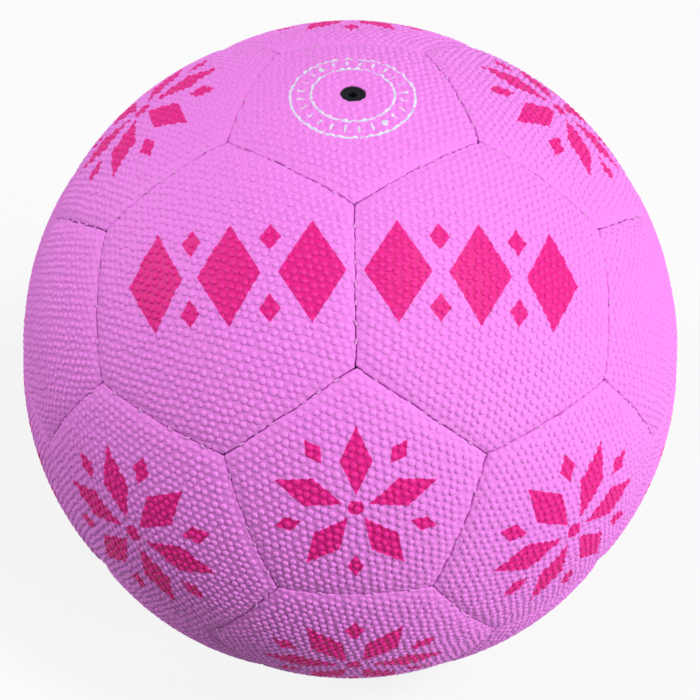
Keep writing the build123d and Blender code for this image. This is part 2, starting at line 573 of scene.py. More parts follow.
@dataclass(frozen=True)
class BallForm:
    """Sizes of the ball, in millimetres, and the places of its panels."""

    radius: float
    seam_dip: float = 0.9
    cover: float = 1.2
    lining: float = 0.8
    flange_depth: float = 4.6
    stitch_pitch: float = 5.2
    stitch_margin: float = 4.0

    @property
    def seam_radius(self) -> float:
        """Where the faces of two panels would meet, from the centre."""
        return self.radius - self.seam_dip

    @property
    def stitch_radius(self) -> float:
        """The middle of the stitch holes, from the centre."""
        return self.seam_radius - (self.cover + self.lining + self.flange_depth) / 2

    @property
    def half_edge(self) -> float:
        """Half a seam's length as a share of the radius."""
        golden = (1 + math.sqrt(5)) / 2
        return 1 / math.sqrt(9 * golden + 10)

    def reach(self, sides: int) -> float:
        """The angle from a panel's axis to the middle of its edges."""
        apothem = self.half_edge / math.tan(math.pi / sides)
        return math.asin(apothem / math.sqrt(1 - self.half_edge**2))

    def pentagon_axes(self) -> list[np.ndarray]:
        """Axes of the pentagons, the valve's first and then the one that faces -Y.

        Returns:
            Unit vectors from the centre.
        """
        tilt = math.atan(2)
        axes = [np.array((0.0, 0.0, 1.0))]
        for lean, front in ((tilt, -math.pi / 2), (math.pi - tilt, math.pi / 2)):
            for index in range(5):
                turn = front + index * math.tau / 5
                flat = math.sin(lean)
                axes.append(np.array((flat * math.cos(turn), flat * math.sin(turn), math.cos(lean))))
        return [*axes, -axes[0]]

    def hexagon_axes(self) -> list[np.ndarray]:
        """Axes of the hexagons, each amid three neighbouring pentagons.

        Returns:
            Unit vectors from the centre.
        """
        axes = []
        for trio in combinations(self.pentagon_axes(), 3):
            if all(one @ other > 0 for one, other in combinations(trio, 2)):
                middle = sum(trio)
                axes.append(middle / np.linalg.norm(middle))
        return axes

    def stitches(self) -> np.ndarray:
        """Places of the stitches along a seam, from its middle.

        Returns:
            The places, in millimetres.
        """
        length = 2 * self.half_edge * self.stitch_radius
        count = int((length - 2 * self.stitch_margin) / self.stitch_pitch) + 1
        return (np.arange(count) - (count - 1) / 2) * self.stitch_pitch


def smooth(value: np.ndarray | float, low: float, high: float) -> np.ndarray:
    """A smooth step from 0 at one value to 1 at another."""
    share = np.clip((value - low) / (high - low), 0, 1)
    return share * share * (3 - 2 * share)


def add_mesh(name: str, points: np.ndarray, faces: list, shaded: bool = True) -> bpy.types.Object:
    """A mesh object at the origin.

    Args:
        name: The piece's name.
        points: Its points in millimetres.
        faces: Its faces as rows of point numbers.
        shaded: Whether its faces are shaded smooth.

    Returns:
        The object.
    """
    mesh = bpy.data.meshes.new(name)
    mesh.from_pydata(points * MM, [], faces)
    mesh.polygons.foreach_set("use_smooth", [shaded] * len(mesh.polygons))
    piece = bpy.data.objects.new(name, mesh)
    bpy.context.scene.collection.objects.link(piece)
    return piece


def carry(piece: bpy.types.Object, name: str, values: np.ndarray) -> None:
    """Stores values on the points of a piece.

    Args:
        piece: The piece.
        name: The attribute's name.
        values: One number or one vector for each point.
    """
    kind, key = ("FLOAT_VECTOR", "vector") if values.ndim == 2 else ("FLOAT", "value")
    data = piece.data.attributes.new(name, kind, "POINT").data
    data.foreach_set(key, np.ascontiguousarray(values, np.float32).ravel())


def install(piece: bpy.types.Object, material: bpy.types.Material, slot: str, *nodes: str) -> None:
    """Dresses a piece and puts it in the place of its CAD nodes.

    Args:
        piece: The piece.
        material: Its finish.
        slot: The record's material slot; not used.
        nodes: The CAD nodes that it stands for.
    """
    piece.data.materials.append(material)
    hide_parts(*nodes)
    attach(piece, BODY)
    LOG.info("%s: %d points for %s", piece.name, len(piece.data.vertices), ", ".join(nodes))


def heading(azimuth: float, elevation: float) -> Vector:
    """A unit direction from the ball, turned from its front and raised, in degrees."""
    turn, rise = math.radians(azimuth), math.radians(elevation)
    return Vector((math.sin(turn) * math.cos(rise), -math.cos(turn) * math.cos(rise), math.sin(rise)))


class PanelFace:
    """The plane of one panel and its seams: points of the plane are arc lengths from the axis."""

    def __init__(self, ball: BallForm, axis: np.ndarray, others: list[np.ndarray]) -> None:
        """Finds the neighbours of a panel and its frame.

        Args:
            ball: Sizes of the ball.
            axis: The panel's axis.
            others: The axes of all panels.
        """
        self.ball = ball
        near = [other for other in others if NEIGHBOUR_COSINE < other @ axis < OWN_COSINE]
        near.sort(key=lambda other: -(other @ axis))
        self.sides = len(near)
        toward = near[0] - axis * (near[0] @ axis)
        first = toward / np.linalg.norm(toward)
        self.frame = np.column_stack((first, np.cross(axis, first), axis))
        reach = ball.reach(self.sides)
        self.turns = np.sort([math.atan2(*(other @ self.frame)[1::-1]) for other in near])
        flat = np.column_stack((np.cos(self.turns), np.sin(self.turns)))
        self.seams = np.column_stack((flat * math.cos(reach), np.full(self.sides, -math.sin(reach))))
        self.edges = np.column_stack((-flat[:, 1], flat[:, 0]))
        cosine = math.cos(reach)
        self.crown_centre = (ball.radius**2 - ball.seam_radius**2) / (
            2 * (ball.radius - ball.seam_radius * cosine)
        )
        self.crown_radius = ball.radius - self.crown_centre

    def rays(self, plane: np.ndarray) -> np.ndarray:
        """Unit directions of points of the plane, in the panel's frame.

        Args:
            plane: Points of the plane.

        Returns:
            The direction of each point.
        """
        length = np.maximum(np.linalg.norm(plane, axis=1), 1e-9)
        angle = length / self.ball.radius
        return np.column_stack((plane * (np.sin(angle) / length)[:, None], np.cos(angle)))

    def inset(self, plane: np.ndarray, ease: float) -> np.ndarray:
        """Distances inside the seams, with the corners eased.

        Args:
            plane: Points of the plane.
            ease: How far the corners are rounded.

        Returns:
            The distance of each point.
        """
        apart = -self.ball.radius * (self.rays(plane) @ self.seams.T)
        least = apart.min(axis=1)
        return least - ease * np.log(np.exp((least[:, None] - apart) / ease).sum(axis=1))

    def along(self, plane: np.ndarray) -> np.ndarray:
        """Places along the nearest seam, from its middle.

        Args:
            plane: Points of the plane.

        Returns:
            The place of each point.
        """
        rays = self.rays(plane)
        nearest = (rays @ self.seams.T).argmax(axis=1)
        return self.ball.radius * (rays[:, :2] * self.edges[nearest]).sum(axis=1)

    def crown(self, plane: np.ndarray) -> np.ndarray:
        """Radii of the domed face over points of the plane.

        Args:
            plane: Points of the plane.

        Returns:
            The radius at each point.
        """
        angle = np.linalg.norm(plane, axis=1) / self.ball.radius
        offset = self.crown_centre
        return offset * np.cos(angle) + np.sqrt(self.crown_radius**2 - (offset * np.sin(angle)) ** 2)

    def ring(self, turns: np.ndarray, levels: np.ndarray, ease: float) -> np.ndarray:
        """Points of the plane at given insets.

        Args:
            turns: The azimuth of each point.
            levels: The inset of each point.
            ease: How far the corners are rounded.

        Returns:
            The points.
        """
        ways = np.column_stack((np.cos(turns), np.sin(turns)))
        low = np.zeros(len(turns))
        high = np.full(len(turns), 0.5 * self.ball.radius)
        for _ in range(40):
            middle = (low + high) / 2
            deep = self.inset(ways * middle[:, None], ease) > levels
            low = np.where(deep, middle, low)
            high = np.where(deep, high, middle)
        return ways * low[:, None]


@dataclass
class PanelTop:
    """The face of one panel, in its plane: points of the rim first, then plain ones, then pebbles.

    The points have a rise and slopes over the plain rubber. The number of the rim's points, the number of
    points without pebbles and the radius of the valve's hole, or 0, say which is which.
    """

    flat: np.ndarray
    rise: np.ndarray
    slope: np.ndarray
    faces: np.ndarray
    rim: int
    plain: int
    hole: float


class PanelShell:
    """The points of one panel, ring by ring, what they carry, and the faces between the rings."""

    def __init__(self, face: PanelFace, count: int) -> None:
        """Starts an empty shell.

        Args:
            face: The panel's plane.
            count: Points in a ring.
        """
        self.face = face
        self.after = np.roll(np.arange(count), -1)
        self.size = 0
        self.quads: list[Row] = []
        keys = ("points", "normals", "places", "sheet", "sunk", "pebble")
        self.carried: dict[str, list[np.ndarray]] = {key: [] for key in keys}

    def add(
        self,
        plane: np.ndarray,
        radius: np.ndarray,
        sheet: np.ndarray,
        sunk: np.ndarray,
        pebble: np.ndarray,
        normals: np.ndarray | None = None,
    ) -> np.ndarray:
        """Adds points.

        Args:
            plane: Their places in the panel's plane.
            radius: Their distances from the ball's centre.
            sheet: Their places in the panel laid flat.
            sunk: Their depths in the seam.
            pebble: Their heights as a share of a pebble's.
            normals: Their normals, or none where the faces give them.

        Returns:
            The numbers of the points.
        """
        upright = np.zeros((len(plane), 3)) if normals is None else normals
        rows = (self.face.rays(plane) * radius[:, None], upright, plane, sheet, sunk, pebble)
        for key, row in zip(self.carried, rows):
            self.carried[key].append(row)
        self.size += len(plane)
        return np.arange(self.size - len(plane), self.size)

    def join(self, upper: np.ndarray, lower: np.ndarray) -> None:
        """Adds the faces between two rings."""
        self.quads.extend(zip(upper, lower, lower[self.after], upper[self.after]))

    def gather(self, key: str) -> np.ndarray:
        """What all points carry under a name."""
        return np.concatenate(self.carried[key])


@dataclass
class PanelCover:
    """The thirty-two moulded rubber panels. Sizes are in millimetres."""

    ball: BallForm
    rubber: PanelRubber
    pebble_pitch: float = 2.55
    pebble_jitter: float = 0.17
    pebble_radius: float = 1.0
    pebble_spread: float = 0.10
    pebble_height: float = 0.52
    pebble_dome: float = 5.0
    pebble_rings: tuple[tuple[float, int], ...] = ((0.0, 1), (0.6, 6), (0.82, 9), (0.94, 10), (1.02, 10))
    pebble_heights: tuple[float, float] = (0.85, 1.12)
    pebble_crowding: float = 0.47
    pebble_over_edge: float = 0.55
    edge_height: float = 0.46
    fade_end: float = 4.4
    shoulder_drop: float = 0.5
    shoulder_width: float = 4.6
    roll: float = 0.75
    roll_steps: int = 8
    edge_gap: float = 0.1
    corner_ease: float = 0.3
    pucker: float = 0.10
    pucker_reach: float = 1.7
    seam_sways: tuple[tuple[float, float], ...] = ((2.0, 0.13), (3.4, 0.12))
    skirt: float = 3.2
    skirt_fold: float = 0.6
    back_rings: tuple[float, float] = (0.6, 0.2)
    rim_spacing: float = 0.36
    rim_multiple: int = 12
    fill_rings: tuple[tuple[float, int], ...] = ((0.45, 2), (1.3, 4))
    fill_distance: float = 1.12
    clearance: float = 0.05
    hole_radius: float = 3.7
    hole_ragged: float = 0.24
    hole_lip: float = 0.4
    hole_room: float = 0.06
    hole_waves: tuple[int, ...] = (2, 3, 5, 9, 14)
    hole_wave_sizes: tuple[float, float] = (0.3, 1.0)
    hole_bend: tuple[tuple[float, float], ...] = ((0.28, 0.08), (0.39, 0.32), (0.4, 0.9))
    # Share of the drop into the valve's hole that counts as seam depth for the painted shade.
    hole_shade_depth: float = 0.3
    band_lift: float = 60.0
    band_panels: tuple[str, str] = ("hexagon_panel_01", "hexagon_panel_05")
    star_panel: str = "pentagon_panel_02"
    seed: int = 7

    def ground(self, face: PanelFace, plane: np.ndarray) -> np.ndarray:
        """Radii of the rubber without its pebbles.

        Args:
            face: The panel's plane.
            plane: Points of the plane.

        Returns:
            The radius at each point.
        """
        inset = face.inset(plane, self.corner_ease)
        drop = self.shoulder_drop * np.clip(1 - inset / self.shoulder_width, 0, None) ** 2
        wave = np.cos(face.along(plane) * math.tau / self.ball.stitch_pitch)
        return face.crown(plane) - drop - self.pucker * wave * np.exp(-inset / self.pucker_reach)

    def normals(self, face: PanelFace, plane: np.ndarray, slopes: np.ndarray) -> np.ndarray:
        """Normals of the rubber, in the panel's frame.

        Args:
            face: The panel's plane.
            plane: Points of the plane.
            slopes: The rise of the pebbles along both axes of the plane.

        Returns:
            Unit normals.
        """
        reach = 0.05
        sides = []
        for shift in np.array(((reach, 0.0), (0.0, reach))):
            ahead, behind = (
                face.rays(plane + way) * self.ground(face, plane + way)[:, None] for way in (shift, -shift)
            )
            sides.append((ahead - behind) / (2 * reach))
        upright = np.cross(sides[0], sides[1])
        upright /= np.linalg.norm(upright, axis=1)[:, None]
        leaning = upright - slopes[:, :1] * sides[0] - slopes[:, 1:] * sides[1]
        return leaning / np.linalg.norm(leaning, axis=1)[:, None]

    def scatter(
        self, face: PanelFace, rng: np.random.Generator, hole: float
    ) -> tuple[np.ndarray, np.ndarray]:
        """Scatters the pebbles of a panel on a loose lattice.

        Args:
            face: The panel's plane.
            rng: The panel's random numbers.
            hole: Radius that is kept clear at the middle, or 0.

        Returns:
            The middles of the pebbles and their radii.
        """
        half = math.ceil(0.5 * self.ball.radius / self.pebble_pitch)
        across, up = np.meshgrid(np.arange(-half, half + 1), np.arange(-half, half + 1))
        lattice = np.column_stack(((across + 0.5 * (up % 2)).ravel(), (up * math.sqrt(3) / 2).ravel()))
        turn = rng.uniform(0, math.pi / 3)
        spin = np.array(((math.cos(turn), -math.sin(turn)), (math.sin(turn), math.cos(turn))))
        middles = (lattice + rng.uniform(0, 1, 2)) @ spin.T
        way = rng.uniform(0, math.tau, len(middles))
        far = self.pebble_jitter * np.sqrt(rng.uniform(0, 1, len(middles)))
        middles = self.pebble_pitch * (middles + np.column_stack((np.cos(way), np.sin(way))) * far[:, None])
        radii = self.pebble_radius * (1 + self.pebble_spread * rng.uniform(-1, 1, len(middles)))
        room = face.inset(middles, self.corner_ease) > -0.5 * self.roll
        room &= np.linalg.norm(middles, axis=1) > hole + radii + self.hole_room if hole else True
        middles, radii = middles[room], radii[room]
        apart = np.linalg.norm(middles[:, None] - middles[None], axis=2)
        np.fill_diagonal(apart, np.inf)
        return middles, np.minimum(radii, self.pebble_crowding * apart.min(axis=1))

    def pebbles(self, face: PanelFace, rng: np.random.Generator, hole: float) -> dict[str, np.ndarray]:
        """The points of the pebbles of a panel.

        Args:
            face: The panel's plane.
            rng: The panel's random numbers.
            hole: Radius that is kept clear at the middle, or 0.

        Returns:
            Places in the plane, rises and slopes of the points, and the pebbles' own middles, radii and
            heights.
        """
        middles, radii = self.scatter(face, rng, hole)
        near = smooth(face.inset(middles, self.corner_ease), 0.0, self.fade_end)
        fade = self.edge_height + (1 - self.edge_height) * near
        heights = self.pebble_height * fade * rng.uniform(*self.pebble_heights, len(middles))
        phase = rng.uniform(0, math.tau, len(middles))
        plane, rise, slope = [], [], []
        for reach, count in self.pebble_rings:
            steep = self.pebble_dome * reach ** (self.pebble_dome - 1) if reach < 1 else 0.0
            for index in range(count):
                turn = phase + index * math.tau / count
                way = np.column_stack((np.cos(turn), np.sin(turn)))
                plane.append(middles + way * (reach * radii)[:, None])
                rise.append(heights * (1 - min(reach, 1.0) ** self.pebble_dome))
                slope.append(-way * (steep * heights / radii)[:, None])
        flat = np.concatenate(plane)
        kept = face.inset(flat, self.corner_ease) > self.edge_gap + self.roll + self.clearance
        return {
            "plane": flat[kept],
            "rise": np.concatenate(rise)[kept],
            "slope": np.concatenate(slope)[kept],
            "middles": middles,
            "radii": radii,
            "heights": heights,
        }

    def field(self, spots: np.ndarray, pebbles: dict[str, np.ndarray]) -> np.ndarray:
        """Heights of the pebbles at any spots.

        Args:
            spots: Points of the plane.
            pebbles: The pebbles of the panel.

        Returns:
            The height at each spot.
        """
        apart = np.linalg.norm(spots[:, None] - pebbles["middles"][None], axis=2) / pebbles["radii"]
        return (pebbles["heights"] * (1 - np.minimum(apart, 1.0) ** self.pebble_dome)).max(axis=1)

    def rim(
        self, face: PanelFace, turns: np.ndarray, pebbles: dict[str, np.ndarray]
    ) -> list[Ring]:
        """The rolled edge and the turned-in skirt of a panel, from the face down.

        Args:
            face: The panel's plane.
            turns: The azimuths of the points round the panel.
            pebbles: The pebbles of the panel, which run over the edge.

        Returns:
            Rings with their plane points, radii, depths, pebble heights and places in the flat sheet.
        """
        count = len(turns)
        ways = np.column_stack((np.cos(turns), np.sin(turns)))
        top = face.ring(turns, np.full(count, self.edge_gap + self.roll), self.corner_ease)
        level = self.ground(face, top)
        run = face.along(top) * math.tau / self.ball.stitch_pitch
        sway = sum(size * np.sin(run / stitches) for stitches, size in self.seam_sways)
        near = face.inset(pebbles["middles"], self.corner_ease) < 2 * self.pebble_pitch
        edging = {key: pebbles[key][near] for key in ("middles", "radii", "heights")}
        rings = []
        for step in range(self.roll_steps + 1):
            share = step / self.roll_steps
            turn = share * math.pi / 2
            sheet = top + ways * (self.roll * turn)
            rise = self.field(sheet, edging) * (1 - smooth(share, self.pebble_over_edge, 1.0))
            inset = self.edge_gap + self.roll * (1 - math.sin(turn)) - sway * share - rise * math.sin(turn)
            plane = top if step == 0 else face.ring(turns, inset, self.corner_ease)
            drop = self.roll * (1 - math.cos(turn))
            radius = level - drop + rise * math.cos(turn)
            sunk = np.full(count, drop)
            rings.append({"plane": plane, "radius": radius, "sunk": sunk, "rise": rise, "sheet": sheet})
        foot = rings[-1]
        for drop in (self.skirt_fold, self.skirt):
            lower = dict(foot)
            lower["radius"] = level - self.roll - drop
            lower["sunk"] = np.full(count, self.roll + drop)
            lower["sheet"] = foot["sheet"] + ways * drop
            rings.append(lower)
        return rings

    def underside(
        self, face: PanelFace, turns: np.ndarray, bottom: np.ndarray
    ) -> list[BackRing]:
        """The back of a panel, from the foot of its skirt to its middle.

        Args:
            face: The panel's plane.
            turns: The azimuths of the points round the panel.
            bottom: The radii of the foot of the skirt.

        Returns:
            Rings of plane points and radii.
        """
        count = len(turns)
        back = self.ball.cover - self.clearance
        lip = face.ring(turns, np.full(count, self.edge_gap + back), self.corner_ease)
        rings = [(lip, bottom), (lip, face.crown(lip) - back)]
        for share in self.back_rings:
            inner = lip * share
            rings.append((inner, face.crown(inner) - back))
        return rings

    def build(self, node: str, face: PanelFace, kind: Print, number: int) -> bpy.types.Object:
        """Builds one panel.

        Args:
            node: The CAD node that it stands for.
            face: The panel's plane.
            kind: What is printed on it.
            number: Its place in the order of building, for its random numbers.

        Returns:
            The panel.
        """
        rng = np.random.default_rng(self.seed * 1000 + number)
        hole = self.hole_radius if kind is Print.RINGS else 0.0
        around = 2 * self.ball.half_edge * self.ball.radius * face.sides
        count = self.rim_multiple * round(around / self.rim_spacing / self.rim_multiple)
        turns = (np.arange(count) + 0.5) * math.tau / count
        pebbles = self.pebbles(face, rng, hole + self.hole_lip if hole else 0.0)
        rim = self.rim(face, turns, pebbles)
        back = self.underside(face, turns, rim[-1]["radius"])
        inner = [rim[0]["plane"]]
        for step, thin in self.fill_rings:
            inset = np.full(count // thin, self.edge_gap + self.roll + step)
            fill = face.ring(turns[::thin], inset, self.corner_ease)
            apart = np.linalg.norm(fill[:, None] - pebbles["middles"][None], axis=2)
            inner.append(fill[(apart > self.fill_distance * pebbles["radii"]).all(axis=1)])
        lip = np.zeros(count)
        if hole:
            ragged = sum(
                rng.uniform(*self.hole_wave_sizes) * np.sin(turns * wave + rng.uniform(0, math.tau))
                for wave in self.hole_waves
            )
            lip = hole + self.hole_ragged * 0.5 * ragged + self.hole_lip
            inner.append(np.column_stack((np.cos(turns), np.sin(turns))) * lip[:, None])
        flat = np.concatenate([*inner, pebbles["plane"]])
        plain = len(flat) - len(pebbles["plane"])
        rise = np.concatenate((rim[0]["rise"], np.zeros(plain - count), pebbles["rise"]))
        slope = np.concatenate((np.zeros((plain, 2)), pebbles["slope"]))
        faces = self.triangles(flat, turns, lip)
        top = PanelTop(flat, rise, slope, faces, count, plain, hole)
        return self.assemble(node, face, kind, top, rim, back)

    def triangles(self, flat: np.ndarray, turns: np.ndarray, lip: np.ndarray) -> np.ndarray:
        """Joins the points of a face by triangles, all turned outwards, and leaves the valve's hole open.

        Args:
            flat: The points in the plane, those of the rim first.
            turns: The azimuths of the rim's points.
            lip: The hole's radius at those azimuths, or 0.

        Returns:
            The triangles as rows of point numbers.
        """
        rim = [list(range(len(turns)))]
        found = delaunay_2d_cdt([Vector(point) for point in flat], [], rim, 1, 1e-6)
        source = np.array([origin[0] for origin in found[3]])
        faces = source[np.array(found[2])]
        middle = flat[faces].mean(axis=1)
        way = np.arctan2(middle[:, 1], middle[:, 0])
        faces = faces[np.linalg.norm(middle, axis=1) > np.interp(way, turns, lip, period=math.tau)]
        spans = flat[faces]
        first, second = spans[:, 1] - spans[:, 0], spans[:, 2] - spans[:, 0]
        backwards = first[:, 0] * second[:, 1] - first[:, 1] * second[:, 0] < 0
        faces[backwards] = faces[backwards][:, ::-1]
        return faces

    def assemble(
        self, node: str, face: PanelFace, kind: Print, top: PanelTop, rim: list[Ring], back: list[BackRing]
    ) -> bpy.types.Object:
        """Joins the face, the rim and the back of a panel into one closed mesh.

        Args:
            node: The CAD node that it stands for.
            face: The panel's plane.
            kind: What is printed on it.
            top: The panel's face.
            rim: Rings of the rolled edge.
            back: Rings of the underside.

        Returns:
            The panel.
        """
        shell = PanelShell(face, top.rim)
        radii = self.ground(face, top.flat) + top.rise
        shares = top.rise / self.pebble_height
        normals = self.normals(face, top.flat, top.slope)
        normals[: top.rim] = 0.0
        last = shell.add(top.flat, radii, top.flat, np.zeros(len(top.flat)), shares, normals)[: top.rim]
        for ring in rim[1:]:
            share = ring["rise"] / self.pebble_height
            new = shell.add(ring["plane"], ring["radius"], ring["sheet"], ring["sunk"], share)
            shell.join(last, new)
            last = new
        shown = len(top.faces) + len(shell.quads)
        level = np.zeros(top.rim)
        for plane, radius in back:
            # The hidden back counts as deep in the seam and takes the painted seam shade.
            new = shell.add(plane, radius, plane, level + self.skirt, level)
            shell.join(last, new)
            last = new
        if top.hole:
            self.line_hole(shell, top, radii, last)
        else:
            centre, flush = np.zeros((1, 2)), np.zeros(1)
            tip = shell.add(centre, face.crown(centre) - self.ball.cover, centre, flush, flush)
            shell.quads.extend(zip(last, np.full(top.rim, tip[0]), last[shell.after]))
        points = shell.gather("points") @ face.frame.T
        piece = add_mesh(f"cover_{node}", points, [*top.faces.tolist(), *shell.quads])
        upright = shell.gather("normals") @ face.frame.T
        piece.data.normals_split_custom_set_from_vertices(upright.tolist())
        self.lay_out(piece, shell.gather("sheet"), shown)
        print_plane = self.print_plane(face, kind, shell.gather("places"))
        carry(piece, "print_plane", np.column_stack((print_plane, np.zeros(shell.size))))
        carry(piece, "pebble", shell.gather("pebble"))
        carry(piece, "sunk", shell.gather("sunk"))
        return piece

    def line_hole(self, shell: PanelShell, top: PanelTop, radii: np.ndarray, back: np.ndarray) -> None:
        """Bends the rubber down into the valve's hole and joins it to the back.

        Args:
            shell: The panel's points and faces.
            top: The panel's face.
            radii: The radii of the face's points.
            back: The last ring of the back.
        """
        edge = np.arange(top.plain - top.rim, top.plain)
        lip, base, level = top.flat[edge], radii[edge], np.zeros(top.rim)
        outward = lip / np.linalg.norm(lip, axis=1)[:, None]
        for inward, drop in (*self.hole_bend, (self.hole_lip, self.ball.cover - self.clearance)):
            plane = lip - outward * inward
            # Points in the valve's hole take part of their drop as depth for the painted seam shade.
            new = shell.add(plane, base - drop, plane, level + self.hole_shade_depth * drop, level)
            shell.quads.extend(zip(edge, edge[shell.after], new[shell.after], new))
            edge = new
        shell.join(back, edge)

    def print_plane(self, face: PanelFace, kind: Print, plane: np.ndarray) -> np.ndarray:
        """Where the points of a panel lie in its print.

        Args:
            face: The panel's plane.
            kind: What is printed on it.
            plane: Points of the plane.

        Returns:
            Places in the print, in millimetres.
        """
        if kind is not Print.BAND:
            return plane
        rays = face.rays(plane) @ face.frame.T
        lift = math.radians(self.band_lift)
        front = np.array((0.0, -math.cos(lift), math.sin(lift)))
        above = np.array((0.0, math.sin(lift), math.cos(lift)))
        around = np.arctan2(rays[:, 0], rays @ front)
        return self.ball.radius * np.column_stack((around, np.arcsin(rays @ above)))

    def lay_out(self, piece: bpy.types.Object, unrolled: np.ndarray, shown: int) -> None:
        """Gives a panel a flat layout: the face and rim as one sheet, the back small in a corner.

        Args:
            piece: The panel.
            unrolled: The place of each point in the sheet.
            shown: The number of faces before those of the back.
        """
        mesh = piece.data
        corners = np.empty(len(mesh.loops), np.int32)
        mesh.loops.foreach_get("vertex_index", corners)
        starts = np.empty(len(mesh.polygons), np.int32)
        mesh.polygons.foreach_get("loop_start", starts)
        margin, back_scale, back_corner = 2.04, 0.10, 0.055
        sheet = unrolled[corners] / (margin * np.abs(unrolled).max()) + 0.5
        hidden = np.arange(len(corners)) >= starts[shown]
        sheet[hidden] = (sheet[hidden] - 0.5) * back_scale + back_corner
        mesh.uv_layers.new(name="OFBake").data.foreach_set("uv", sheet.astype(np.float32).ravel())

    def prints(self, node: str) -> Print:
        """What is printed on a panel.

        Args:
            node: The panel's CAD node.

        Returns:
            The print.
        """
        if node == "valve_panel":
            return Print.RINGS
        if node in self.band_panels:
            return Print.BAND
        if node == self.star_panel:
            return Print.STAR
        return Print.ROSETTE if node.startswith("hexagon") else Print.BARE

    def dress(self) -> None:
        """Builds and dresses every panel."""
        axes = self.ball.pentagon_axes() + self.ball.hexagon_axes()
        materials = {kind: self.rubber.material(kind) for kind in Print}
        nodes = sorted(name for name in frame["nodes"] if "panel" in name and "lining" not in name)
        for number, node in enumerate(nodes):
            low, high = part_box(node)
            middle = np.array((low + high) / 2)
            axis = max(axes, key=lambda way: way @ middle)
            face = PanelFace(self.ball, axis, axes)
            kind = self.prints(node)
            piece = self.build(node, face, kind, number)
            install(piece, materials[kind], "panel_rubber", node)


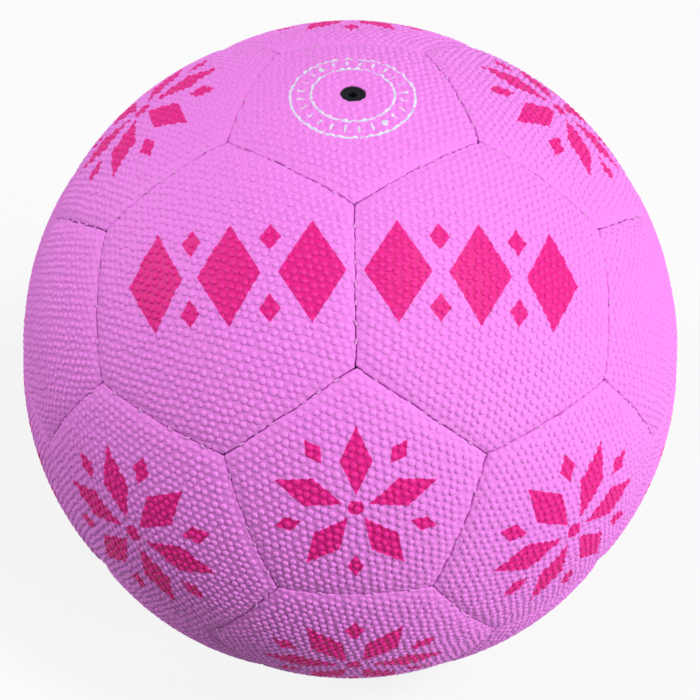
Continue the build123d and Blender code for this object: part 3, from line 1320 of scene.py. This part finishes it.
@dataclass
class SeamStitching:
    """The waxed thread in the seams. Sizes are in millimetres."""

    ball: BallForm
    finish: WaxedThread
    thread_radius: float = 0.36
    crest_drop: float = 0.84
    crest_spread: float = 0.45
    crest_sink: float = 0.1
    crest_run: float = 0.6
    foot_run: float = 1.2
    run_side: float = 2.2
    wander: float = 0.25
    lean: tuple[float, float] = (0.1, 0.4)
    sides: int = 6
    samples: int = 4
    seed: int = 41

    def path(self, rng: np.random.Generator) -> np.ndarray:
        """The thread's way along one seam: across at each stitch, and on alternate sides between.

        Args:
            rng: The seam's random numbers.

        Returns:
            Points across the seam, along it and from the centre.
        """
        low = self.ball.stitch_radius
        stops = []
        side = -1.0
        for place in self.ball.stitches():
            crest = self.ball.seam_radius - self.crest_drop - self.crest_spread * rng.uniform(-1, 1)
            here = place + rng.uniform(-self.wander, self.wander)
            lean = side * rng.uniform(*self.lean)
            stops.append((side * self.run_side, here - self.foot_run, low))
            stops.append((lean, here - self.crest_run, crest - self.crest_sink))
            stops.append((-lean, here + self.crest_run, crest - self.crest_sink))
            stops.append((-side * self.run_side, here + self.foot_run, low))
            side = -side
        return np.array(stops)

    def curve(self, stops: np.ndarray) -> np.ndarray:
        """A smooth curve through the stops.

        Args:
            stops: Points that the curve goes through.

        Returns:
            Points of the curve.
        """
        ends = np.vstack((2 * stops[0] - stops[1], stops, 2 * stops[-1] - stops[-2]))
        out = []
        for p0, p1, p2, p3 in zip(ends, ends[1:], ends[2:], ends[3:]):
            for share in np.arange(self.samples) / self.samples:
                linear = 2 * p1 + (p2 - p0) * share
                square = (2 * p0 - 5 * p1 + 4 * p2 - p3) * share**2
                cube = (3 * p1 - p0 - 3 * p2 + p3) * share**3
                out.append(0.5 * (linear + square + cube))
        return np.array([*out, stops[-1]])

    def tube(self, line: np.ndarray, start: int) -> tuple[np.ndarray, list[Row], np.ndarray]:
        """A closed round tube along a line.

        Args:
            line: The points of the line.
            start: The number of its first point.

        Returns:
            Its points, its faces and the length run at each point.
        """
        ahead = np.gradient(line, axis=0)
        ahead /= np.linalg.norm(ahead, axis=1)[:, None]
        up = line / np.linalg.norm(line, axis=1)[:, None]
        across = np.cross(ahead, up)
        across /= np.linalg.norm(across, axis=1)[:, None]
        above = np.cross(across, ahead)
        turn = np.arange(self.sides) * math.tau / self.sides
        rings = (
            line[:, None]
            + self.thread_radius * np.cos(turn)[None, :, None] * across[:, None]
            + self.thread_radius * np.sin(turn)[None, :, None] * above[:, None]
        )
        run = np.concatenate(((0.0,), np.cumsum(np.linalg.norm(np.diff(line, axis=0), axis=1))))
        twist = run[:, None] + turn[None] * self.finish.ply_length / math.tau
        faces: list[Row] = []
        for row in range(len(line) - 1):
            here = start + row * self.sides
            there = here + self.sides
            for side in range(self.sides):
                beside = (side + 1) % self.sides
                faces.append((here + side, there + side, there + beside, here + beside))
        final = start + (len(line) - 1) * self.sides
        faces.append(tuple(start + side for side in range(self.sides)))
        faces.append(tuple(final + side for side in reversed(range(self.sides))))
        return rings.reshape(-1, 3), faces, twist.ravel()

    def stitch(self, node: str, seams: list[tuple[np.ndarray, np.ndarray, float]]) -> None:
        """Sews one kind of seam.

        Args:
            node: The CAD node of the thread.
            seams: Axes of the panels at each side and the angle from the first to the seam.
        """
        rng = np.random.default_rng(self.seed + len(seams))
        points, faces, twists = [], [], []
        size = 0
        for one, other, reach in seams:
            toward = other - one * (one @ other)
            toward /= np.linalg.norm(toward)
            out = one * math.cos(reach) + toward * math.sin(reach)
            across = toward * math.cos(reach) - one * math.sin(reach)
            along = np.cross(out, across)
            line = self.curve(self.path(rng))
            bend = line[:, 1] / self.ball.stitch_radius
            rays = np.cos(bend)[:, None] * out + np.sin(bend)[:, None] * along
            made, more, twist = self.tube(rays * line[:, 2:] + line[:, :1] * across, size)
            points.append(made)
            faces.extend(more)
            twists.append(twist)
            size += len(made)
        piece = add_mesh(f"thread_{node}", np.concatenate(points), faces)
        carry(piece, "twist", np.concatenate(twists))
        install(piece, self.finish.material(), "seam_thread", node)

    def dress(self) -> None:
        """Sews the seams between hexagons and those round the pentagons."""
        pentagons, hexagons = self.ball.pentagon_axes(), self.ball.hexagon_axes()
        kinds = {
            "hexagon_seam_stitching": (6, combinations(hexagons, 2)),
            "pentagon_seam_stitching": (5, product(pentagons, hexagons)),
        }
        for node, (sides, pairs) in kinds.items():
            near = [pair for pair in pairs if pair[0] @ pair[1] > NEIGHBOUR_COSINE]
            self.stitch(node, [(*pair, self.ball.reach(sides)) for pair in near])


@dataclass
class NeedleValve:
    """The moulded valve housing and its plug. Sizes are in millimetres."""

    ball: BallForm
    finish: ValveRubber
    neck_radius: float = 3.6
    recess: float = 0.45
    face_drop: float = 0.1
    socket_radius: float = 2.65
    plug_radius: float = 2.6
    plug_length: float = 15.0
    plug_foot_radius: float = 3.9
    plug_foot_height: float = 2.4
    needle_radius: float = 1.15
    needle_depth: float = 12.0
    mouth_radius: float = 1.4
    mouth_depth: float = 0.5
    flange_radius: float = 14.0
    tube_radius: float = 5.2
    tube_floor: float = 2.2
    port_radius: float = 1.2
    clearance: float = 0.05
    patch: float = 0.8
    bladder_drop: float = 5.7
    segments: int = 96
    softness: float = 0.28
    softness_limit: float = 0.4
    corner_steps: tuple[float, ...] = (0.0, 0.25, 0.5, 0.75, 1.0)
    dome_points: int = 8

    def rounded(self, outline: list[tuple[float, float]]) -> np.ndarray:
        """An outline with its corners softened.

        Args:
            outline: Corners as radius and height, in order.

        Returns:
            The softened outline.
        """
        corners = np.array(outline)
        out = []
        for before, corner, after in zip(np.roll(corners, 1, 0), corners, np.roll(corners, -1, 0)):
            back, on = before - corner, after - corner
            back_length, on_length = np.linalg.norm(back), np.linalg.norm(on)
            cut = min(self.softness, self.softness_limit * back_length, self.softness_limit * on_length)
            start = corner + back / back_length * cut
            end = corner + on / on_length * cut
            for share in self.corner_steps:
                out.append((1 - share) ** 2 * start + 2 * share * (1 - share) * corner + share**2 * end)
        return np.array(out)

    def turn(self, name: str, outline: np.ndarray, closed: bool) -> bpy.types.Object:
        """Turns an outline about the valve's axis.

        Args:
            name: The piece's name.
            outline: Radii and heights, in order.
            closed: Whether the last point joins the first.

        Returns:
            The piece.
        """
        turns = np.arange(self.segments) * math.tau / self.segments
        rows = len(outline)
        radius, height = outline[:, 0][:, None], outline[:, 1][:, None] * np.ones(self.segments)
        points = np.stack((radius * np.cos(turns), radius * np.sin(turns), height), axis=2).reshape(-1, 3)
        faces: list[Row] = []
        for row in range(rows if closed else rows - 1):
            here, there = row * self.segments, (row + 1) % rows * self.segments
            for side in range(self.segments):
                beside = (side + 1) % self.segments
                faces.append((here + side, here + beside, there + beside, there + side))
        if not closed:
            faces.append(tuple(reversed(range(self.segments))))
            faces.append(tuple(range((rows - 1) * self.segments, rows * self.segments)))
        return add_mesh(name, points, faces)

    def housing(self) -> bpy.types.Object:
        """The housing: a neck in the panel's hole, a flange on the bladder and a tube with a chamber.

        Returns:
            The piece.
        """
        face = PanelFace(self.ball, self.ball.pentagon_axes()[0], self.ball.hexagon_axes())
        top = self.ball.radius - self.recess
        bladder = self.ball.radius - self.bladder_drop
        plug_foot = top - self.face_drop - self.plug_length
        foot = plug_foot - self.clearance - self.tube_floor
        under = face.crown_radius - self.ball.cover - self.ball.lining - self.patch
        reach = np.linspace(self.neck_radius, self.flange_radius, self.dome_points)
        upper = [(r, face.crown_centre + math.sqrt(under**2 - r**2)) for r in reach]
        reach = np.linspace(self.flange_radius, self.tube_radius, self.dome_points)
        lower = [(r, math.sqrt(bladder**2 - r**2)) for r in reach]
        chamber = self.plug_foot_radius + self.clearance
        outline = [
            (self.socket_radius, top),
            (self.neck_radius, top),
            *upper,
            *lower,
            (self.tube_radius, foot),
            (self.port_radius, foot),
            (self.port_radius, plug_foot - self.clearance),
            (chamber, plug_foot - self.clearance),
            (chamber, plug_foot + self.plug_foot_height + self.clearance),
            (self.socket_radius, plug_foot + self.plug_foot_height + self.clearance),
        ]
        return self.turn("valve_body", self.rounded(outline)[::-1], True)

    def plug(self) -> bpy.types.Object:
        """The plug with its foot and its needle hole.

        Returns:
            The piece.
        """
        face = self.ball.radius - self.recess - self.face_drop
        foot = face - self.plug_length
        floor = face - self.needle_depth
        outline = [
            (self.needle_radius, floor),
            (self.needle_radius, face - self.mouth_depth),
            (self.mouth_radius, face),
            (self.plug_radius, face),
            (self.plug_radius, foot + self.plug_foot_height),
            (self.plug_foot_radius, foot + self.plug_foot_height),
            (self.plug_foot_radius, foot),
            (self.needle_radius, foot),
        ]
        # The first and the last corner lie on the axis side, where flat ends close the plug.
        soft = self.rounded(outline)
        return self.turn("valve_core", soft[3:-2][::-1], False)

    def dress(self) -> None:
        """Builds and dresses the housing and the plug."""
        material = self.finish.material()
        install(self.housing(), material, "valve_rubber", "valve_housing")
        install(self.plug(), material, "valve_rubber", "valve_plug")


@dataclass
class InnerLayers:
    """The cloth and the bladder inside, which keep their CAD shapes."""

    lining: PlainCloth = PlainCloth("lining_cloth_weave", (0.72, 0.70, 0.64), (0.42, 0.40, 0.36))
    patch: PlainCloth = PlainCloth("patch_cloth_weave", (0.56, 0.54, 0.50), (0.30, 0.29, 0.27), 700.0)
    butyl: BladderRubber = BladderRubber()

    def dress(self) -> None:
        """Gives every inner layer its finish."""
        lining = self.lining.material()
        finishes = {
            "valve_panel_lining": lining,
            "pentagon_linings": lining,
            "hexagon_linings": lining,
            "valve_patch": self.patch.material(),
            "bladder": self.butyl.material(),
        }
        for node, material in finishes.items():
            materials = frame["nodes"][node].data.materials
            materials.clear()
            materials.append(material)
            LOG.info("%s: dressed with %s", node, material.name)


@dataclass(frozen=True)
class Lamp:
    """A round soft lamp aimed at the ball. Sizes are in metres and angles in degrees."""

    name: str
    elevation: float
    azimuth: float
    size: float
    power: float
    distance: float = 1.6

    def hang(self) -> None:
        """Puts the lamp in its place."""
        light = bpy.data.lights.new(self.name, "AREA")
        light.shape = "DISK"
        light.size = self.size
        light.energy = self.power
        lamp = bpy.data.objects.new(self.name, light)
        toward = heading(self.azimuth, self.elevation)
        lamp.location = toward * self.distance
        lamp.rotation_euler = toward.to_track_quat("Z", "Y").to_euler()
        lamp.visible_camera = False
        bpy.context.scene.collection.objects.link(lamp)


@dataclass
class Studio:
    """The floor, the lamps, the world and the camera. Sizes are in metres."""

    ball: BallForm
    distance: float = 0.4456
    azimuth: float = -1.2
    elevation: float = 48.95
    roll: float = 0.65
    lens: float = 65.4
    sensor: float = 36.0
    lamps: tuple[Lamp, ...] = (
        Lamp("key_lamp", 59.0, 58.0, 0.3, 13.2),
        Lamp("side_lamp", 13.0, 62.0, 0.5, 11.4),
        Lamp("fill_lamp", 34.0, 268.0, 0.6, 10.8),
    )
    ambient: float = 0.23
    floor_size: float = 8.0
    floor_bounce: float = 0.1
    floor_tone: float = 0.9
    floor_glow: float = 0.82
    floor_fade: tuple[float, float] = (0.3, 1.2)
    paper_scale: float = 300.0
    paper_grain: float = 0.02

    def seen(self, paint: Paint) -> Value:
        """Whether a ray shows the backdrop to the camera, a gloss or a clear piece.

        Args:
            paint: The tree that asks.

        Returns:
            1 where it does, otherwise 0.
        """
        shown = paint.node("ShaderNodeLightPath", {}, {}, "Is Camera Ray")
        for kind in ("Is Glossy Ray", "Is Transmission Ray"):
            shown = shown.most(paint.node("ShaderNodeLightPath", {}, {}, kind))
        return shown

    def floor(self) -> None:
        """A plain pale floor under the ball, white to the camera, which keeps the soft shadow."""
        paint = Paint(bpy.data.materials.new("studio_floor_paper"))
        half = self.floor_size / 2 / MM
        square = ((-1, -1), (1, -1), (1, 1), (-1, 1))
        corners = np.array([(x * half, y * half, -self.ball.radius) for x, y in square])
        piece = add_mesh("studio_floor", corners, [(0, 1, 2, 3)], False)
        grain = paint.noise(paint.place(), self.paper_scale, 2.0) * self.paper_grain
        papers = []
        for tone in (self.floor_bounce, self.floor_tone):
            level = grain + tone
            colour = paint.node("ShaderNodeCombineColor", {}, {0: level, 1: level, 2: level})
            papers.append(paint.node("ShaderNodeBsdfDiffuse", {}, {"Color": colour}))
        white = paint.node("ShaderNodeEmission", {}, {"Color": (1, 1, 1, 1), "Strength": 1.0})
        away = paint.node("ShaderNodeVectorMath", {"operation": "LENGTH"}, {0: paint.place()}, "Value")
        glow = away.step(*self.floor_fade) * (1 - self.floor_glow) + self.floor_glow
        pale = paint.node("ShaderNodeMixShader", {}, {0: glow, 1: papers[1], 2: white})
        paint.close(paint.node("ShaderNodeMixShader", {}, {0: self.seen(paint), 1: papers[0], 2: pale}))
        piece.data.materials.append(paint.owner)

    def world(self) -> None:
        """A white surround that lights the ball softly."""
        paint = Paint(bpy.data.worlds.new("studio_world"))
        bpy.context.scene.world = paint.owner
        strength = self.seen(paint) * (1 - self.ambient) + self.ambient
        glow = paint.node("ShaderNodeBackground", {}, {"Color": (1, 1, 1, 1), "Strength": strength})
        paint.node("ShaderNodeOutputWorld", {}, {"Surface": glow}, None)

    def camera(self) -> None:
        """The camera at the photograph's angle."""
        data = bpy.data.cameras.new("studio_camera")
        data.sensor_width = self.sensor
        data.lens = self.lens
        camera = bpy.data.objects.new("studio_camera", data)
        toward = heading(self.azimuth, self.elevation)
        aim = toward.to_track_quat("Z", "Y").to_matrix().to_4x4()
        tilt = Matrix.Rotation(math.radians(self.roll), 4, "Z")
        camera.matrix_world = Matrix.Translation(toward * self.distance) @ aim @ tilt
        bpy.context.scene.collection.objects.link(camera)
        bpy.context.scene.camera = camera

    def dress(self) -> None:
        """Sets up the whole studio."""
        bpy.context.scene.view_settings.view_transform = "Standard"
        self.floor()
        self.world()
        for lamp in self.lamps:
            lamp.hang()
        self.camera()
        LOG.info("studio: floor, world, %d lamps and a camera", len(self.lamps))


def main() -> None:
    """Builds the ball from its outside in, at the size read from the record, then the studio."""
    logging.basicConfig(level=logging.INFO, format="%(name)s %(message)s")
    cup = next(mount for mount in frame["record"]["mounts"] if mount["name"] == "ball_cup")
    ball = BallForm(radius=-cup["pos_m"][2] / MM)
    PanelCover(ball, PanelRubber()).dress()
    SeamStitching(ball, WaxedThread()).dress()
    NeedleValve(ball, ValveRubber()).dress()
    InnerLayers().dress()
    Studio(ball).dress()


if __name__ == "__main__":
    main()
